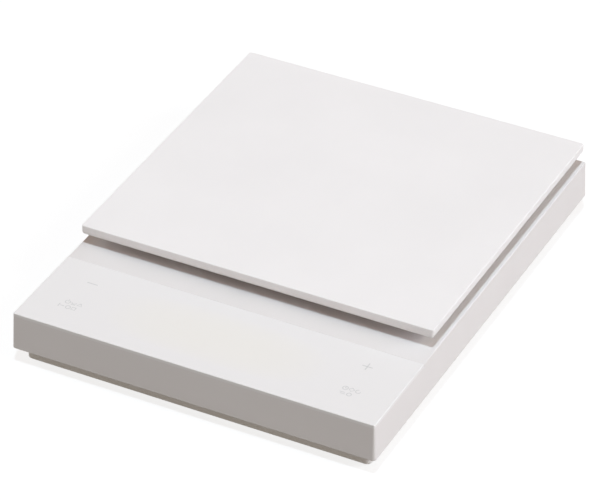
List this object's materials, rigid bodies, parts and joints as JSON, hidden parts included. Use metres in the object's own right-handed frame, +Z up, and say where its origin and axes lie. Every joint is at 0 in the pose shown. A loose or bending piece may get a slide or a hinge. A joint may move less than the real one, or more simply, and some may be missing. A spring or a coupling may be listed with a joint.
{
  "type": "digital gram scale",
  "caption": "Flat electronic gram scale with a drafted plastic base, a touch panel at the front and a thin lift-off weighing platform over a load cell.",
  "frame": {"origin": "on the table, under the middle of the base", "axes": "+X to the right of the user, -Y towards the control panel, +Z up"},
  "size_m": [0.1412, 0.1792, 0.0296],
  "materials": {
    "housing_plastic": "fine satin moulded white",
    "panel_plastic": "satin white translucent cover",
    "cover_plastic": "fine matte moulded white",
    "carrier_plastic": "plain moulded white",
    "platform_plastic": "fine satin moulded white",
    "silicone": "matte grey silicone",
    "screw_steel": "zinc plated",
    "cell_aluminium": "milled",
    "sealant": "soft off-white",
    "board_resin": "green solder mask",
    "black_resin": "moulded black",
    "contact_nickel": "nickel plated spring steel",
    "battery_jacket": "plain printed jacket",
    "cable_jacket": "off-white insulation",
    "red_insulation": "red insulation",
    "black_insulation": "black insulation"
  },
  "bodies": {
    "base": {"main_housing": "housing_plastic", "control_panel": "panel_plastic", "bottom_cover": "cover_plastic", "rubber_foot_front_left": "silicone", "rubber_foot_front_right": "silicone", "rubber_foot_rear_left": "silicone", "rubber_foot_rear_right": "silicone", "case_screw_front_left": "screw_steel", "case_screw_front_right": "screw_steel", "case_screw_rear_left": "screw_steel", "case_screw_rear_right": "screw_steel", "load_cell": "cell_aluminium", "load_cell_base_spacer": "screw_steel", "strain_gauge_seal_top": "sealant", "strain_gauge_seal_bottom": "sealant", "load_cell_base_screw_1": "screw_steel", "load_cell_base_screw_2": "screw_steel", "main_circuit_board": "board_resin", "circuit_board_screw_front_left": "screw_steel", "circuit_board_screw_front_right": "screw_steel", "circuit_board_screw_rear_left": "screw_steel", "circuit_board_screw_rear_right": "screw_steel", "display_module": "black_resin", "display_light_mask": "black_resin", "touch_spring_minus": "contact_nickel", "touch_spring_plus": "contact_nickel", "buzzer": "black_resin", "microcontroller": "black_resin", "converter_chip": "black_resin", "load_cell_connector": "sealant", "battery_cell_left": "battery_jacket", "battery_cell_middle": "battery_jacket", "battery_cell_right": "battery_jacket", "battery_positive_contact": "contact_nickel", "battery_bridge_contact_rear": "contact_nickel", "battery_bridge_contact_front": "contact_nickel", "battery_negative_contact": "contact_nickel", "load_cell_cable": "cable_jacket", "battery_lead_red": "red_insulation", "battery_lead_black": "black_insulation"},
    "carrier": {"platform_carrier": "carrier_plastic", "carrier_spacer": "carrier_plastic", "carrier_screw_1": "screw_steel", "carrier_screw_2": "screw_steel", "support_pad_front_left": "silicone", "support_pad_front_right": "silicone", "support_pad_rear_left": "silicone", "support_pad_rear_right": "silicone"},
    "platform": {"weighing_platform": "platform_plastic"},
    "door": {"battery_door": "cover_plastic"}
  },
  "joints": [
    {"name": "load_travel", "type": "slide", "parent": "base", "child": "carrier", "axis": [0, 0, -1], "range_m": [0, 0.0006], "stiffness_N_per_m": 50000, "springref_m": -0.00002, "deforming": ["load_cell"]},
    {"name": "platform_lift", "type": "slide", "parent": "carrier", "child": "platform", "axis": [0, 0, 1], "range_m": [0, 0.04]},
    {"name": "battery_door_swing", "type": "hinge", "parent": "base", "child": "door", "pos_m": [0.03125, 0.0432, 0.001], "axis": [1, 0, 0], "range_deg": [0, 80]}
  ]
}
